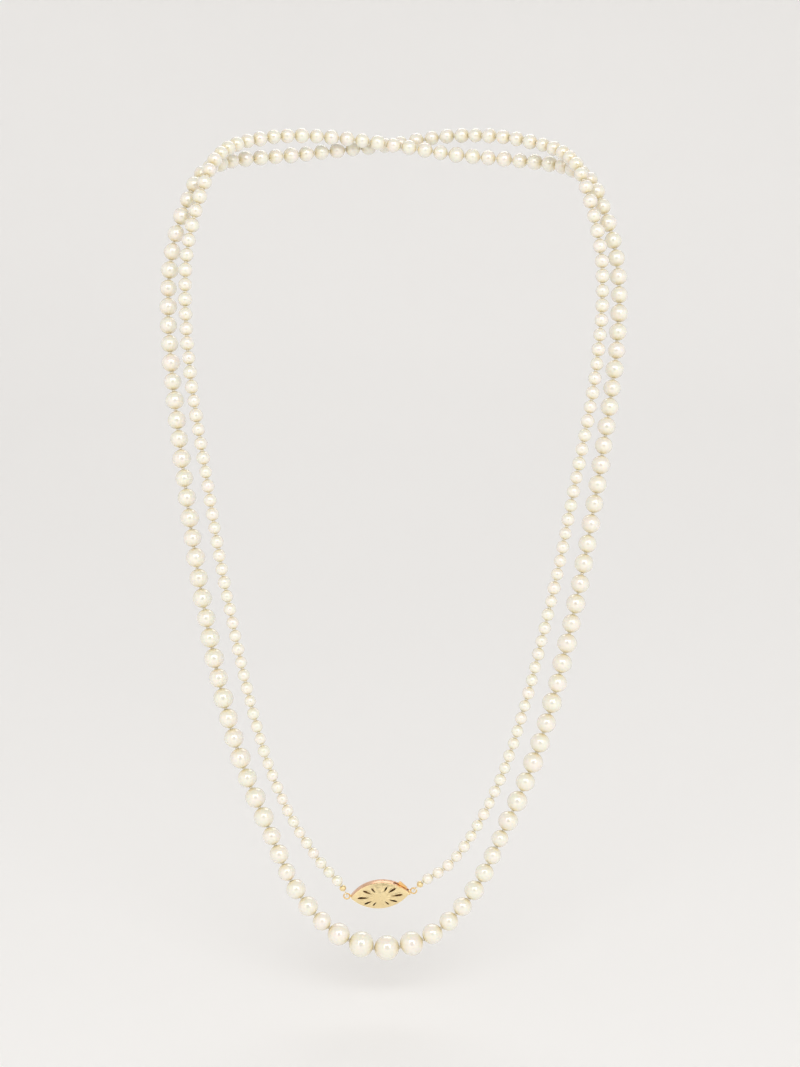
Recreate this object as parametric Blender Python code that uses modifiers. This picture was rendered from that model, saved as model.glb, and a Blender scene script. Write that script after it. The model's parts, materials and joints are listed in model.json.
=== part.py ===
"""A long graduated pearl strand worn doubled, with a gold marquise fishhook clasp.

The strand hangs as it does on a neck: two drapes of different depth in front and two wraps behind.
X is to the right of someone facing the wearer, Y points away from that person and Z is up.
The origin is the middle of the neck at the height of the wraps.  Route points are in millimetres.
"""

import math

import bmesh
import bpy
from mathutils import Matrix, Vector

MM = 0.001
WELD_DISTANCE = 0.000001
SEAM_DISTANCE = 0.00001
UPRIGHT = math.radians(90.0)

# Routes, right-hand side, in millimetres.  The left-hand side is the mirror image.
OUTER_BOTTOM_ROUTE = [
    (0.0, -39.2, -165.8), (7.3, -38.7, -164.4), (14.0, -37.3, -160.2), (20.5, -34.7, -152.6),
    (26.3, -31.1, -140.4),
]
OUTER_LOWER_ROUTE = [
    (31.0, -27.8, -130.2), (35.3, -24.5, -118.0), (39.0, -20.6, -103.6), (42.1, -16.5, -89.4),
]
OUTER_UPPER_ROUTE = [
    (44.7, -12.3, -74.8), (46.9, -7.8, -61.0), (48.9, -2.8, -48.0), (50.3, 2.0, -36.4),
    (50.8, 6.6, -25.6), (49.8, 10.2, -16.2),
]
OUTER_SIDE_ROUTE = [(47.5, 13.0, -8.6), (45.2, 16.4, -3.2), (43.0, 21.6, -0.8)]
INNER_LOWER_ROUTE = [
    (14.6, -37.3, -145.5), (20.8, -34.7, -136.6), (26.3, -31.2, -124.8), (30.8, -27.2, -110.2),
    (34.6, -22.8, -94.6), (37.6, -18.9, -81.2), (40.1, -14.7, -68.0),
]
INNER_UPPER_ROUTE = [
    (42.5, -10.2, -56.2), (44.6, -5.6, -45.6), (46.1, -0.8, -34.4), (46.7, 3.4, -25.2),
    (46.4, 6.9, -16.8),
]
INNER_SIDE_ROUTE = [(44.6, 9.8, -8.4), (42.4, 13.4, -1.4), (40.4, 19.0, 2.6)]

# Routes behind the neck, from the wearer's right shoulder to the left one.
# The under wrap lies on the neck and the over wrap crosses it on the outside.
UNDER_WRAP_ROUTE = [
    (-35.4, 28.2, 4.8), (-25.0, 35.2, 5.8), (-13.0, 39.2, 5.0), (0.0, 40.2, 3.4),
    (13.5, 39.4, 1.6), (27.5, 36.4, 0.8), (38.2, 29.6, 0.4),
]
OVER_WRAP_ROUTE = [
    (-38.2, 29.6, 0.4), (-27.5, 36.6, 0.8), (-14.0, 42.8, 1.8), (0.0, 44.6, 3.4),
    (12.5, 42.8, 5.6), (24.6, 36.0, 6.2), (35.4, 28.2, 4.8),
]
ROUTE_STEPS = 40

# Pearl sizes: each centre pearl has its own, from the wearer's left to right, and beyond them the
# diameter falls steadily to the clasp.
CENTRE_DIAMETERS = (
    3.9, 4.0, 4.3, 4.5, 4.3, 4.3, 4.7, 5.5, 5.8, 5.8, 5.1, 4.2, 4.6, 4.5, 4.0, 4.4, 4.2,
)
STRAND_HALF_LENGTH = 470.0
SMALLEST_DIAMETER = 2.5
STEADY_GROWTH = 2.35
LENGTH_SHARE = 0.96
SIZE_VARIATION = 0.035
VARIATION_STEP = 2.4

# Pearl counts of each stretch and how each stretch is shared among its runs.
OUTER_LOWER_RUNS = (6, 6)
OUTER_UPPER_RUNS = (6, 6, 6)
WRAP_RUNS = (8, 8, 8, 8, 7)
INNER_UPPER_RUNS = (9, 8)
INNER_LOWER_RUNS = (8, 8, 8, 8)

# Profile of a pearl in a run, as shares of its length and radius, and of the knots.
SHOULDER_PLACE = 0.24
SHOULDER_RADIUS = 0.94
KNOT_RADIUS = 0.42
THREAD_RADIUS = 0.2
RUN_END_CLEARANCE = 0.16
KNOT_HALF_LENGTH = 0.12

# Drilled pearls of the centre and the two gold end beads.
BORE_RADIUS = 0.4
PEARL_RINGS = 6
PEARL_SIDES = 10
END_BEAD_DIAMETER = 1.5
END_BEAD_LENGTH = 1.35
END_BEAD_BORE = 0.3

# Clasp, in its own frame: u along it, v across it and w out of the front.
CLASP_CENTRE = (-1.0, -37.5, -152.6)
CLASP_TILT = math.radians(6.0)
CASE_HALF_LENGTH = 6.5
CASE_HALF_WIDTH = 3.0
CASE_DEPTH = 1.9
CASE_WALL = 0.35
OUTLINE_STEPS = 8
FRONT_RIM_HEIGHT = 2.35
FRONT_THICKNESS = 0.33
FRONT_DOME = ((1.0, 0.0), (0.84, 0.24), (0.58, 0.46), (0.28, 0.6))
FRONT_CROWN = 0.64
FRONT_SLOTS = (  # direction from the fan's centre, start, end and half width at the end
    (0.0, 2.5, 4.7, 0.3), (24.0, 2.1, 3.7, 0.25), (-24.0, 2.1, 3.7, 0.25),
    (50.0, 1.5, 2.5, 0.2), (-50.0, 1.5, 2.5, 0.2),
)
SLOT_START_HALF_WIDTH = 0.09
SLOT_TIP = 0.14
MOUTH_LOW = (3.2, -0.95, 0.6)
MOUTH_HIGH = (8.0, 3.5, 1.5)
STRIP_LOW_W = 0.7
STRIP_HIGH_W = 1.4
HOOK_OUTLINE = (
    (-4.65, -0.75), (6.0, -0.75), (6.5, -0.25), (6.5, 0.15), (6.3, 0.15), (5.85, -0.45),
    (-4.35, -0.45), (-4.35, 0.6), (-4.65, 0.6),
)
SPRING_OUTLINE = (
    (-4.15, 0.2), (4.4, 1.15), (5.6, 0.5), (5.95, 0.55), (5.95, 1.0), (5.2, 1.62),
    (4.3, 2.15), (4.3, 1.55), (-4.15, 0.55),
)
SPRING_PIVOT = (-4.15, 0.4)
RING_RADIUS = 0.65
RING_WIRE = 0.17
RING_PLACE = 7.42
RING_DEPTH = 1.05
LOOP_RADIUS = 0.52
LOOP_WIRE = 0.14
RING_SEGMENTS = 12
RING_SIDES = 6
BEAD_GAP = 0.12
EYE_DIRECTION = (-0.42, 0.0, 0.91)
HOOK_DIRECTION = (0.66, 0.0, 0.75)
STRAND_START_GAP = 0.12

PEARL_COLOUR = (0.90, 0.86, 0.76, 1.0)
GOLD_COLOUR = (0.92, 0.72, 0.36, 1.0)
SILK_COLOUR = (0.93, 0.91, 0.84, 1.0)


def clear_scene():
    for thing in list(bpy.data.objects):
        bpy.data.objects.remove(thing, do_unlink=True)


def new_collection(name):
    collection = bpy.data.collections.new(name)
    bpy.context.scene.collection.children.link(collection)
    return collection


def material(name, colour, roughness, metallic):
    made = bpy.data.materials.new(name)
    made.use_nodes = True
    shader = made.node_tree.nodes["Principled BSDF"]
    shader.inputs["Base Color"].default_value = colour
    shader.inputs["Roughness"].default_value = roughness
    shader.inputs["Metallic"].default_value = metallic
    made.diffuse_color = colour
    return made


def pearl_material(name):
    return material(name + "_finish", PEARL_COLOUR, 0.25, 0.0)


def gold_material(name):
    return material(name + "_finish", GOLD_COLOUR, 0.25, 1.0)


def silk_material(name):
    return material(name + "_finish", SILK_COLOUR, 0.8, 0.0)


def mirrored(points):
    return [(-x, y, z) for x, y, z in points]


def metres(point):
    return Vector(point) * MM


def smooth_points(points):
    """Points of a Catmull-Rom curve through the given ones, and the index of each given one."""
    ends = [2 * points[0] - points[1], *points, 2 * points[-1] - points[-2]]
    made, marks = [], []
    for i in range(1, len(ends) - 2):
        before, start, end, after = ends[i - 1], ends[i], ends[i + 1], ends[i + 2]
        marks.append(len(made))
        for step in range(ROUTE_STEPS):
            t = step / ROUTE_STEPS
            made.append(0.5 * (
                2 * start + (end - before) * t
                + (2 * before - 5 * start + 4 * end - after) * t ** 2
                + (3 * start - before - 3 * end + after) * t ** 3
            ))
    marks.append(len(made))
    made.append(points[-1])
    return made, marks


class Stretch:
    """One length of the strand, measured along its own curve."""

    def __init__(self, points):
        self.points = points
        self.lengths = [0.0]
        for near, far in zip(points, points[1:]):
            self.lengths.append(self.lengths[-1] + (far - near).length)
        self.length = self.lengths[-1]

    def at(self, distance):
        distance = min(max(distance, 0.0), self.length)
        i = 1
        while self.lengths[i] < distance and i < len(self.lengths) - 1:
            i += 1
        span = self.lengths[i] - self.lengths[i - 1]
        return self.points[i - 1].lerp(self.points[i], (distance - self.lengths[i - 1]) / span)


def strand_stretches(eye_start, hook_start):
    """The whole strand from the case end to the hook end, cut at its bending knots."""
    parts = [
        ("inner_lower_left", [eye_start, *mirrored(INNER_LOWER_ROUTE)]),
        ("inner_upper_left", mirrored(INNER_UPPER_ROUTE)),
        ("under_wrap", [*mirrored(INNER_SIDE_ROUTE), *UNDER_WRAP_ROUTE, *reversed(OUTER_SIDE_ROUTE),
                        OUTER_UPPER_ROUTE[-1]]),
        ("outer_upper_right", [*reversed(OUTER_UPPER_ROUTE[:-1]), OUTER_LOWER_ROUTE[-1]]),
        ("outer_lower_right", [*reversed(OUTER_LOWER_ROUTE[:-1]), OUTER_BOTTOM_ROUTE[-1]]),
        ("centre", [*reversed(OUTER_BOTTOM_ROUTE[:-1]), *mirrored(OUTER_BOTTOM_ROUTE[1:])]),
        ("outer_lower_left", mirrored(OUTER_LOWER_ROUTE)),
        ("outer_upper_left", mirrored(OUTER_UPPER_ROUTE)),
        ("over_wrap", [*mirrored(OUTER_SIDE_ROUTE), *OVER_WRAP_ROUTE, *reversed(INNER_SIDE_ROUTE),
                       INNER_UPPER_ROUTE[-1]]),
        ("inner_upper_right", [*reversed(INNER_UPPER_ROUTE[:-1]), INNER_LOWER_ROUTE[-1]]),
        ("inner_lower_right", [*reversed(INNER_LOWER_ROUTE[:-1]), hook_start]),
    ]
    route, last = [], []
    for _, points in parts:
        route += [metres(p) for p in points]
        last.append(len(route) - 1)
    curve, marks = smooth_points(route)
    stretches, start = {}, 0
    for (name, _), end in zip(parts, last):
        stretches[name] = Stretch(curve[marks[start]:marks[end] + 1])
        start = end
    return stretches


def pearl_diameter(distance, index):
    """Diameter in millimetres of a pearl whose middle is that far from the strand's centre."""
    steady = SMALLEST_DIAMETER + STEADY_GROWTH * (1.0 - distance / STRAND_HALF_LENGTH)
    return steady * (1.0 + SIZE_VARIATION * math.sin(VARIATION_STEP * index))


def graded_diameters(stretch, count, nearest, inwards):
    """The diameters in millimetres of the pearls of a stretch, in the order they are strung.

    nearest is the distance in metres from the strand's centre to the stretch's nearer end, and
    inwards says that the stretch runs towards the strand's centre.
    """
    diameters = []
    for i in range(count):
        along = stretch.length * (i + 0.5) / count
        distance = nearest + (stretch.length - along if inwards else along)
        diameters.append(pearl_diameter(distance / MM, count - 1 - i if inwards else i))
    return diameters


def pearls_on(stretch, diameters):
    """Where each pearl of a stretch sits: (start, end, diameter) along it, in metres."""
    gap = (stretch.length - sum(diameters) * LENGTH_SHARE * MM) / len(diameters)
    made, start = [], gap / 2
    for diameter in diameters:
        end = start + diameter * LENGTH_SHARE * MM
        made.append((start, end, diameter * MM))
        start = end + gap
    return made


def poly_tube(name, stations, finish, collection):
    """A closed round tube through (point, radius) stations."""
    data = bpy.data.curves.new(name, "CURVE")
    data.dimensions = "3D"
    data.bevel_depth = MM
    data.bevel_resolution = 1
    data.use_fill_caps = True
    line = data.splines.new("POLY")
    line.points.add(len(stations) - 1)
    for point, (place, radius) in zip(line.points, stations):
        point.co = (*place, 1.0)
        point.radius = radius / MM
    line.use_smooth = True
    data.materials.append(finish)
    thing = bpy.data.objects.new(name, data)
    collection.objects.link(thing)
    return thing


def pearl_run(name, stretch, pearls, collection):
    """Neighbouring pearls and the knots between them as one beaded length."""
    first, last = pearls[0], pearls[-1]
    half_gap = (pearls[1][0] - first[1]) / 2
    stations = [(stretch.at(first[0] - half_gap + RUN_END_CLEARANCE * MM), THREAD_RADIUS * MM)]
    for i, (start, end, diameter) in enumerate(pearls):
        middle, length = (start + end) / 2, end - start
        if i:
            stations.append((stretch.at(start - half_gap), KNOT_RADIUS * MM))
        for side in (-1, 1):
            place = stretch.at(middle + side * SHOULDER_PLACE * length)
            stations.append((place, SHOULDER_RADIUS * diameter / 2))
    stations.append((stretch.at(last[1] + half_gap - RUN_END_CLEARANCE * MM), THREAD_RADIUS * MM))
    return poly_tube(name, stations, pearl_material(name), collection)


def add_runs(prefix, stretch, pearls, shares, collection, first_number=1, backwards=False):
    """Divides a stretch's pearls among its runs."""
    start = 0
    for i, share in enumerate(shares):
        number = first_number + (len(shares) - 1 - i if backwards else i)
        pearl_run(f"{prefix}_{number}", stretch, pearls[start:start + share], collection)
        start += share


def drilled_bead(name, length, diameter, bore, finish, collection):
    """A turned bead, flat round its bore, with its hole along its own Z."""
    half, radius = length / 2, diameter / 2
    turn = math.asin(bore / radius)
    profile = []
    for i in range(PEARL_RINGS + 1):
        angle = turn + (math.pi - 2 * turn) * i / PEARL_RINGS
        profile.append((radius * math.sin(angle), 0.0, half * math.cos(angle)))
    edges = [(i, (i + 1) % len(profile)) for i in range(len(profile))]
    mesh = bpy.data.meshes.new(name)
    mesh.from_pydata(profile, edges, [])
    mesh.materials.append(finish)
    thing = bpy.data.objects.new(name, mesh)
    collection.objects.link(thing)
    screw = thing.modifiers.new("turn", "SCREW")
    screw.steps = PEARL_SIDES
    screw.render_steps = PEARL_SIDES
    screw.use_merge_vertices = True
    screw.merge_threshold = SEAM_DISTANCE
    screw.use_smooth_shade = True
    return thing


def lay_along(thing, start, end):
    """Puts a piece midway between two points with its Z along them."""
    thing.location = (start + end) / 2
    thing.rotation_mode = "QUATERNION"
    thing.rotation_quaternion = (end - start).to_track_quat("Z", "Y")


def centre_section(stretch, collection):
    """The largest pearls, each turning on the knotted silk that carries them."""
    pearls = pearls_on(stretch, CENTRE_DIAMETERS)
    half_gap = (pearls[1][0] - pearls[0][1]) / 2
    stations = [(stretch.at(RUN_END_CLEARANCE * MM), THREAD_RADIUS * MM)]
    for i, (start, end, diameter) in enumerate(pearls):
        name = f"centre_pearl_{i + 1:02d}"
        bead = drilled_bead(name, end - start, diameter, BORE_RADIUS * MM, pearl_material(name), collection)
        lay_along(bead, stretch.at(start - half_gap), stretch.at(end + half_gap))
        if i:
            knot = start - half_gap
            stations.append((stretch.at(knot - KNOT_HALF_LENGTH * MM), THREAD_RADIUS * MM))
            stations.append((stretch.at(knot), KNOT_RADIUS * MM))
            stations.append((stretch.at(knot + KNOT_HALF_LENGTH * MM), THREAD_RADIUS * MM))
    stations.append((stretch.at(stretch.length - RUN_END_CLEARANCE * MM), THREAD_RADIUS * MM))
    poly_tube("centre_silk", stations, silk_material("centre_silk"), collection)


def marquise(half_length, half_width):
    """A pointed oval of two equal arcs, counterclockwise from its right-hand tip."""
    radius = (half_length ** 2 + half_width ** 2) / (2 * half_width)
    reach = math.asin(half_length / radius)
    points = []
    for side in (1, -1):
        for i in range(OUTLINE_STEPS):
            angle = reach - 2 * reach * i / OUTLINE_STEPS
            height = radius * math.cos(angle) - radius + half_width
            points.append((side * radius * math.sin(angle), side * height))
    return points


def flat_solid(name, outline, low, high, parent, finish, collection):
    """A mesh plate of that outline in millimetres, from low to high in w."""
    data = bpy.data.curves.new(name + "_outline", "CURVE")
    data.dimensions = "2D"
    data.fill_mode = "BOTH"
    data.extrude = (high - low) * MM / 2
    line = data.splines.new("POLY")
    line.points.add(len(outline) - 1)
    for point, (u, v) in zip(line.points, outline):
        point.co = (u * MM, v * MM, 0.0, 1.0)
    line.use_cyclic_u = True
    drawn = bpy.data.objects.new(name + "_outline", data)
    collection.objects.link(drawn)
    bpy.context.view_layer.update()
    seen = drawn.evaluated_get(bpy.context.evaluated_depsgraph_get())
    mesh = bpy.data.meshes.new_from_object(seen)
    mesh.name = name
    weld(mesh)
    mesh.materials.clear()
    mesh.materials.append(finish)
    thing = bpy.data.objects.new(name, mesh)
    thing.matrix_world = drawn.matrix_world
    bpy.data.objects.remove(drawn, do_unlink=True)
    collection.objects.link(thing)
    thing.parent = parent
    thing.location = (0.0, 0.0, (low + high) * MM / 2)
    return thing


def weld(mesh):
    shape = bmesh.new()
    shape.from_mesh(mesh)
    bmesh.ops.remove_doubles(shape, verts=shape.verts, dist=WELD_DISTANCE)
    bmesh.ops.recalc_face_normals(shape, faces=shape.faces)
    shape.to_mesh(mesh)
    shape.free()


def cut(thing, cutter):
    step = thing.modifiers.new("cut_" + cutter.name, "BOOLEAN")
    step.operation = "DIFFERENCE"
    step.solver = "EXACT"
    step.object = cutter
    cutter.hide_render = True
    cutter.display_type = "WIRE"


def build_case(parent, collection, cutters):
    finish = gold_material("clasp_case")
    case = flat_solid("clasp_case", marquise(CASE_HALF_LENGTH, CASE_HALF_WIDTH), 0.0, CASE_DEPTH,
                      parent, finish, collection)
    inner_length = CASE_HALF_LENGTH - CASE_WALL * CASE_HALF_LENGTH / CASE_HALF_WIDTH
    hollow = flat_solid("case_hollow", marquise(inner_length, CASE_HALF_WIDTH - CASE_WALL), CASE_WALL,
                        CASE_DEPTH + CASE_WALL, parent, finish, cutters)
    mouth_outline = (
        (MOUTH_LOW[0], MOUTH_LOW[1]), (MOUTH_HIGH[0], MOUTH_LOW[1]),
        (MOUTH_HIGH[0], MOUTH_HIGH[1]), (MOUTH_LOW[0], MOUTH_HIGH[1]),
    )
    mouth = flat_solid("case_mouth", mouth_outline, MOUTH_LOW[2], MOUTH_HIGH[2], parent, finish, cutters)
    cut(case, hollow)
    cut(case, mouth)


def build_front(parent, collection, cutters):
    """The domed front plate with its fan of pierced slots."""
    outline = marquise(CASE_HALF_LENGTH, CASE_HALF_WIDTH)
    count = len(outline)
    points, faces = [], []
    for scale, rise in FRONT_DOME:
        points += [(u * scale * MM, v * scale * MM, (FRONT_RIM_HEIGHT + rise) * MM) for u, v in outline]
    for ring in range(len(FRONT_DOME) - 1):
        for i in range(count):
            j = (i + 1) % count
            low, high = ring * count, (ring + 1) * count
            faces.append((low + i, low + j, high + j, high + i))
    crown = len(points)
    points.append((0.0, 0.0, (FRONT_RIM_HEIGHT + FRONT_CROWN) * MM))
    top = (len(FRONT_DOME) - 1) * count
    faces += [(top + i, top + (i + 1) % count, crown) for i in range(count)]
    mesh = bpy.data.meshes.new("clasp_front_filigree")
    mesh.from_pydata(points, [], faces)
    mesh.materials.append(gold_material("clasp_front_filigree"))
    front = bpy.data.objects.new("clasp_front_filigree", mesh)
    collection.objects.link(front)
    front.parent = parent
    shell = front.modifiers.new("plate", "SOLIDIFY")
    shell.thickness = FRONT_THICKNESS * MM
    shell.offset = -1.0
    for side in (0.0, 180.0):
        for number, (turn, near, far, width) in enumerate(FRONT_SLOTS):
            angle = math.radians(side + turn)
            along = Vector((math.cos(angle), math.sin(angle)))
            across = Vector((-along.y, along.x))
            corners = (
                along * near - across * SLOT_START_HALF_WIDTH, along * far - across * width,
                along * (far + SLOT_TIP), along * far + across * width,
                along * near + across * SLOT_START_HALF_WIDTH,
            )
            cutter = flat_solid(f"front_slot_{int(side)}_{number}", [tuple(c) for c in corners],
                                CASE_DEPTH - FRONT_THICKNESS, FRONT_RIM_HEIGHT + 2 * FRONT_CROWN,
                                parent, front.data.materials[0], cutters)
            cut(front, cutter)


def ring(name, radius, wire, finish, collection):
    bpy.ops.mesh.primitive_torus_add(major_radius=radius * MM, minor_radius=wire * MM,
                                     major_segments=RING_SEGMENTS, minor_segments=RING_SIDES)
    thing = bpy.context.object
    thing.name = name
    thing.data.name = name
    thing.data.materials.append(finish)
    thing.data.shade_smooth()
    for owner in list(thing.users_collection):
        owner.objects.unlink(thing)
    collection.objects.link(thing)
    return thing


def end_fitting(end, ring_name, place, direction, parent, frame, collection):
    """A ring on the clasp, the silk loop through it and the gold bead that hides its knot.

    Returns the point, in millimetres, where the strand of pearls begins."""
    towards = Vector(direction).normalized()
    eye = ring(ring_name, RING_RADIUS, RING_WIRE, gold_material(ring_name), collection)
    eye.parent = parent
    eye.location = metres(place)
    centre = frame @ metres(place)
    out = frame.to_3x3() @ Vector((0.0, 0.0, 1.0))
    loop_name = f"silk_loop_{end}"
    loop = ring(loop_name, LOOP_RADIUS, LOOP_WIRE, silk_material(loop_name), collection)
    loop.location = centre + towards * RING_RADIUS * MM
    loop.rotation_mode = "QUATERNION"
    loop.rotation_quaternion = towards.cross(out).to_track_quat("Z", "Y")
    bead_start = centre + towards * (RING_RADIUS + LOOP_RADIUS + LOOP_WIRE + BEAD_GAP) * MM
    bead_end = bead_start + towards * END_BEAD_LENGTH * MM
    bead_name = f"end_bead_{end}"
    bead = drilled_bead(bead_name, END_BEAD_LENGTH * MM, END_BEAD_DIAMETER * MM, END_BEAD_BORE * MM,
                        gold_material(bead_name), collection)
    lay_along(bead, bead_start, bead_end)
    return tuple((bead_end + towards * STRAND_START_GAP * MM) / MM)


def build_clasp(collection, cutters):
    """Makes the clasp and returns where the strand starts at each of its ends."""
    parent = bpy.data.objects.new("clasp_frame", None)
    collection.objects.link(parent)
    frame = (
        Matrix.Translation(metres(CLASP_CENTRE))
        @ Matrix.Rotation(-CLASP_TILT, 4, "Y")
        @ Matrix.Rotation(UPRIGHT, 4, "X")
    )
    parent.matrix_world = frame
    build_case(parent, collection, cutters)
    build_front(parent, collection, cutters)
    flat_solid("clasp_hook_shank", HOOK_OUTLINE, STRIP_LOW_W, STRIP_HIGH_W, parent,
               gold_material("clasp_hook_shank"), collection)
    pivot = bpy.data.objects.new("spring_pivot", None)
    collection.objects.link(pivot)
    pivot.parent = parent
    pivot.location = (SPRING_PIVOT[0] * MM, SPRING_PIVOT[1] * MM, 0.0)
    outline = [(u - SPRING_PIVOT[0], v - SPRING_PIVOT[1]) for u, v in SPRING_OUTLINE]
    flat_solid("clasp_spring_leg", outline, STRIP_LOW_W, STRIP_HIGH_W, pivot,
               gold_material("clasp_spring_leg"), collection)
    eye_start = end_fitting("case_end", "clasp_eye_ring", (-RING_PLACE, 0.0, RING_DEPTH), EYE_DIRECTION,
                            parent, frame, collection)
    hook_start = end_fitting("hook_end", "clasp_hook_ring", (RING_PLACE, 0.0, RING_DEPTH), HOOK_DIRECTION,
                             parent, frame, collection)
    return eye_start, hook_start


def build_strand(stretches, collection):
    """Places every run and pearl, from the centre outwards on each side."""
    centre = stretches["centre"]
    centre_section(centre, collection)
    for side in ("left", "right"):
        inwards = side == "right"
        distance = centre.length / 2
        plan = (
            ("outer_lower", OUTER_LOWER_RUNS, f"outer_{side}_run", 1),
            ("outer_upper", OUTER_UPPER_RUNS, f"outer_{side}_run", 1 + len(OUTER_LOWER_RUNS)),
            ("wrap", WRAP_RUNS, "over_wrap_run" if side == "left" else "under_wrap_run", 1),
            ("inner_upper", INNER_UPPER_RUNS, "inner_{}_run", 1 + len(INNER_LOWER_RUNS)),
            ("inner_lower", INNER_LOWER_RUNS, "inner_{}_run", 1),
        )
        far_side = "right" if side == "left" else "left"
        for kind, shares, prefix, first in plan:
            inner = kind.startswith("inner")
            if kind == "wrap":
                stretch = stretches["over_wrap" if side == "left" else "under_wrap"]
            else:
                stretch = stretches[f"{kind}_{far_side if inner else side}"]
            pearls = pearls_on(stretch, graded_diameters(stretch, sum(shares), distance, inwards))
            backwards = inwards != inner
            add_runs(prefix.format(far_side), stretch, pearls, shares, collection, first, backwards)
            distance += stretch.length


def main():
    clear_scene()
    collection = new_collection("pearl_necklace")
    cutters = new_collection("cutters")
    eye_start, hook_start = build_clasp(collection, cutters)
    build_strand(strand_stretches(eye_start, hook_start), collection)


main()
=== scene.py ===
"""Looks of the pearl necklace: its pearls, knotted silk and gold clasp, with light, floor and camera.

The strand's routes, sizes and counts repeat those of the CAD source, so that each pearl made here lies
where its solid does.  The constants of the strand and the clasp are in millimetres, and everything that is
made from them is in metres.
"""
import json
import math

import bmesh
import bpy
import numpy as np
from mathutils import Matrix, Quaternion, Vector


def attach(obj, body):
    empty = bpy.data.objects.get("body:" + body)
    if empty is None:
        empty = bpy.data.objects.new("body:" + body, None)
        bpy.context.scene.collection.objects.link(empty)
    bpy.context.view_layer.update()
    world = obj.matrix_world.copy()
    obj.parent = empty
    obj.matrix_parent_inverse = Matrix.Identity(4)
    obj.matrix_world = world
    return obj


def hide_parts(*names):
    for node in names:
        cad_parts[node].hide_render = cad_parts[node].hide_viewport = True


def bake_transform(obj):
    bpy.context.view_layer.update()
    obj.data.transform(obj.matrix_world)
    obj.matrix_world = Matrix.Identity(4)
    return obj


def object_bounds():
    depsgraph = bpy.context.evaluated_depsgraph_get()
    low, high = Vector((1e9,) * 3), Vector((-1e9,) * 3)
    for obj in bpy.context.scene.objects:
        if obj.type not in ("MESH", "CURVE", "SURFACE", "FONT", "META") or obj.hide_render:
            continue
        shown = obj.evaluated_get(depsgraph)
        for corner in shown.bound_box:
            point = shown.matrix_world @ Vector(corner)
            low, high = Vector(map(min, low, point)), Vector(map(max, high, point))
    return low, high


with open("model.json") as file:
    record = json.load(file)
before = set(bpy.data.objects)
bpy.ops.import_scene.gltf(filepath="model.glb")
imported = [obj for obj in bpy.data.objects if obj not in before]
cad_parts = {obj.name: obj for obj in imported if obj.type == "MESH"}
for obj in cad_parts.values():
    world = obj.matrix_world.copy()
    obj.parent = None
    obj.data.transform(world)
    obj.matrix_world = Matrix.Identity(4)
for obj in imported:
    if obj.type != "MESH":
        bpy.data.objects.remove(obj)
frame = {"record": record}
cad_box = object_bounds()

MM = 0.001

# ---------------------------------------------------------------- the strand, as the CAD source has it
OUTER_BOTTOM_ROUTE = [
    (0.0, -39.2, -165.8), (7.3, -38.7, -164.4), (14.0, -37.3, -160.2), (20.5, -34.7, -152.6),
    (26.3, -31.1, -140.4),
]
OUTER_LOWER_ROUTE = [
    (31.0, -27.8, -130.2), (35.3, -24.5, -118.0), (39.0, -20.6, -103.6), (42.1, -16.5, -89.4),
]
OUTER_UPPER_ROUTE = [
    (44.7, -12.3, -74.8), (46.9, -7.8, -61.0), (48.9, -2.8, -48.0), (50.3, 2.0, -36.4),
    (50.8, 6.6, -25.6), (49.8, 10.2, -16.2),
]
OUTER_SIDE_ROUTE = [(47.5, 13.0, -8.6), (45.2, 16.4, -3.2), (43.0, 21.6, -0.8)]
INNER_LOWER_ROUTE = [
    (14.6, -37.3, -145.5), (20.8, -34.7, -136.6), (26.3, -31.2, -124.8), (30.8, -27.2, -110.2),
    (34.6, -22.8, -94.6), (37.6, -18.9, -81.2), (40.1, -14.7, -68.0),
]
INNER_UPPER_ROUTE = [
    (42.5, -10.2, -56.2), (44.6, -5.6, -45.6), (46.1, -0.8, -34.4), (46.7, 3.4, -25.2),
    (46.4, 6.9, -16.8),
]
INNER_SIDE_ROUTE = [(44.6, 9.8, -8.4), (42.4, 13.4, -1.4), (40.4, 19.0, 2.6)]
UNDER_WRAP_ROUTE = [
    (-35.4, 28.2, 4.8), (-25.0, 35.2, 5.8), (-13.0, 39.2, 5.0), (0.0, 40.2, 3.4),
    (13.5, 39.4, 1.6), (27.5, 36.4, 0.8), (38.2, 29.6, 0.4),
]
OVER_WRAP_ROUTE = [
    (-38.2, 29.6, 0.4), (-27.5, 36.6, 0.8), (-14.0, 42.8, 1.8), (0.0, 44.6, 3.4),
    (12.5, 42.8, 5.6), (24.6, 36.0, 6.2), (35.4, 28.2, 4.8),
]
ROUTE_STEPS = 40

CENTRE_DIAMETERS = (
    3.9, 4.0, 4.3, 4.5, 4.3, 4.3, 4.7, 5.5, 5.8, 5.8, 5.1, 4.2, 4.6, 4.5, 4.0, 4.4, 4.2,
)
STRAND_HALF_LENGTH = 470.0
SMALLEST_DIAMETER = 2.5
STEADY_GROWTH = 2.35
LENGTH_SHARE = 0.96
SIZE_VARIATION = 0.035
VARIATION_STEP = 2.4

OUTER_LOWER_RUNS = (6, 6)
OUTER_UPPER_RUNS = (6, 6, 6)
WRAP_RUNS = (8, 8, 8, 8, 7)
INNER_UPPER_RUNS = (9, 8)
INNER_LOWER_RUNS = (8, 8, 8, 8)
SLIDING_RUNS = ("inner_right_run_2", "inner_right_run_3", "inner_right_run_4")

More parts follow.
